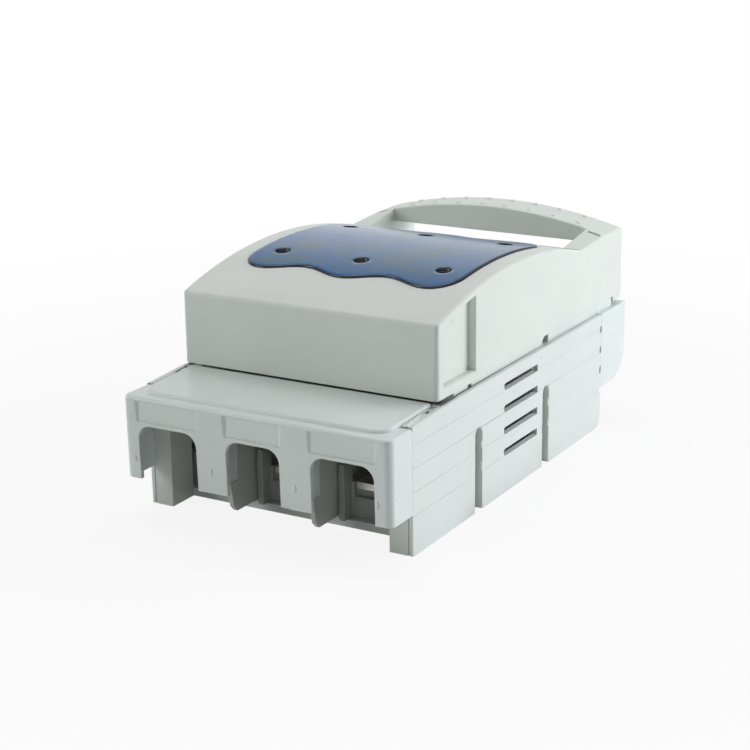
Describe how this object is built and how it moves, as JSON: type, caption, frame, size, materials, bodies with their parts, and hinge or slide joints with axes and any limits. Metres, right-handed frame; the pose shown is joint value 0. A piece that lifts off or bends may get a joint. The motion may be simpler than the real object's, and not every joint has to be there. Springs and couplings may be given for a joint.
{
  "type": "fuse switch disconnector",
  "caption": "Three-pole fuse switch disconnector with a hinged lid that carries the fuse-links, a grip handle, a tinted window, and a cover with cable arches at each end.",
  "frame": {"origin": "centre of the back, on the mounting plane", "axes": "+X across the poles to the right, +Y along the poles from the hinge end to the handle end, +Z out of the mounting plane through the lid"},
  "size_m": [0.106, 0.1914, 0.0836],
  "materials": {
    "base_plastic": "satin moulded, pale grey",
    "cover_plastic": "satin moulded, pale grey",
    "lid_plastic": "satin moulded, pale grey",
    "inner_plastic": "matt moulded, mid grey",
    "carrier_plastic": "matt moulded, dark grey",
    "window_plastic": "polished tinted sheet, blue",
    "plated_copper": "silver-plated, satin",
    "zinc_steel": "zinc-plated"
  },
  "bodies": {
    "base": {"base_floor": "base_plastic", "left_side_wall": "base_plastic", "right_side_wall": "base_plastic", "left_phase_barrier": "base_plastic", "right_phase_barrier": "base_plastic", "near_terminal_block": "inner_plastic", "far_terminal_block": "inner_plastic", "near_deck": "inner_plastic", "far_deck": "inner_plastic", "near_terminal_cover": "cover_plastic", "far_terminal_cover": "cover_plastic", "near_contact_1": "plated_copper", "near_contact_2": "plated_copper", "near_contact_3": "plated_copper", "far_contact_1": "plated_copper", "far_contact_2": "plated_copper", "far_contact_3": "plated_copper", "near_terminal_screws": "zinc_steel", "far_terminal_screws": "zinc_steel"},
    "lid": {"lid_shell": "lid_plastic", "lid_window": "window_plastic", "lid_liner": "inner_plastic", "hinge_pins": "zinc_steel", "fuse_carrier_1": "carrier_plastic", "fuse_carrier_2": "carrier_plastic", "fuse_carrier_3": "carrier_plastic", "left_handle_arm": "lid_plastic", "right_handle_arm": "lid_plastic", "handle_bar": "lid_plastic"}
  },
  "joints": [
    {"name": "lid_hinge", "type": "hinge", "parent": "base", "child": "lid", "pos_m": [0, -0.0547, 0.0532], "axis": [1, 0, 0], "range_deg": [0, 80]}
  ]
}
